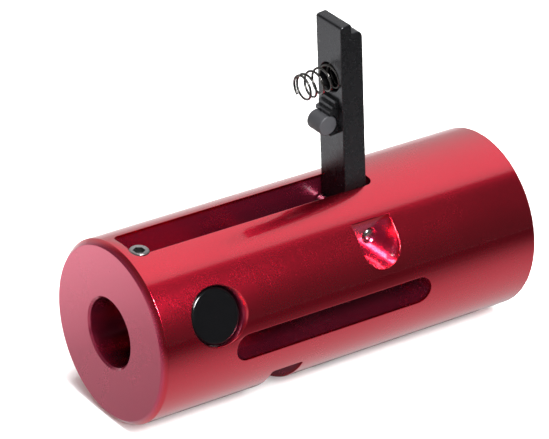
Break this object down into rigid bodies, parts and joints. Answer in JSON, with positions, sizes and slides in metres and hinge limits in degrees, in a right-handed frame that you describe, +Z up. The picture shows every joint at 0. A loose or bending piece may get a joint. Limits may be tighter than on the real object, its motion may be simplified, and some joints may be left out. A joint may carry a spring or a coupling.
{
  "type": "spin-adjusting ball chamber with hinged pressure arm",
  "caption": "Round anodised metal housing with a slot in its top, a hinged black pressure arm standing in it, and a barrel bore through its front face.",
  "frame": {"origin": "centre of the barrel bore, on the flat front face of the housing", "axes": "+X along the housing from the front face to the rear, +Z up through the arm slot, +Y to the left seen from behind the front face"},
  "size_m": [0.0552, 0.0226, 0.0444],
  "materials": {
    "red_anodised": "satin anodised",
    "blackened_steel": "satin",
    "bright_steel": "ground",
    "spring_steel": "drawn wire",
    "black_polymer": "turned, glossy",
    "nub_polymer": "matte"
  },
  "bodies": {
    "chamber": {"chamber_body": "red_anodised", "feed_sleeve": "black_polymer", "right_side_plug": "black_polymer", "left_side_plug": "black_polymer", "arm_pivot_pin": "bright_steel"},
    "arm": {"pressure_arm": "blackened_steel", "pressure_nub": "nub_polymer", "arm_return_spring": "spring_steel"},
    "lock_screw": {"barrel_lock_screw": "bright_steel"}
  },
  "joints": [
    {"name": "arm_pivot", "type": "hinge", "parent": "chamber", "child": "arm", "pos_m": [0.03245, 0, 0.00684], "axis": [0, -1, 0], "range_deg": [-5, 84.5], "deforming": ["arm_return_spring"]},
    {"name": "lock_screw_turn", "type": "hinge", "parent": "chamber", "child": "lock_screw", "pos_m": [0.00285, -0.0016, 0.008], "axis": [0, 0, 1], "range_deg": [0, 720]}
  ]
}
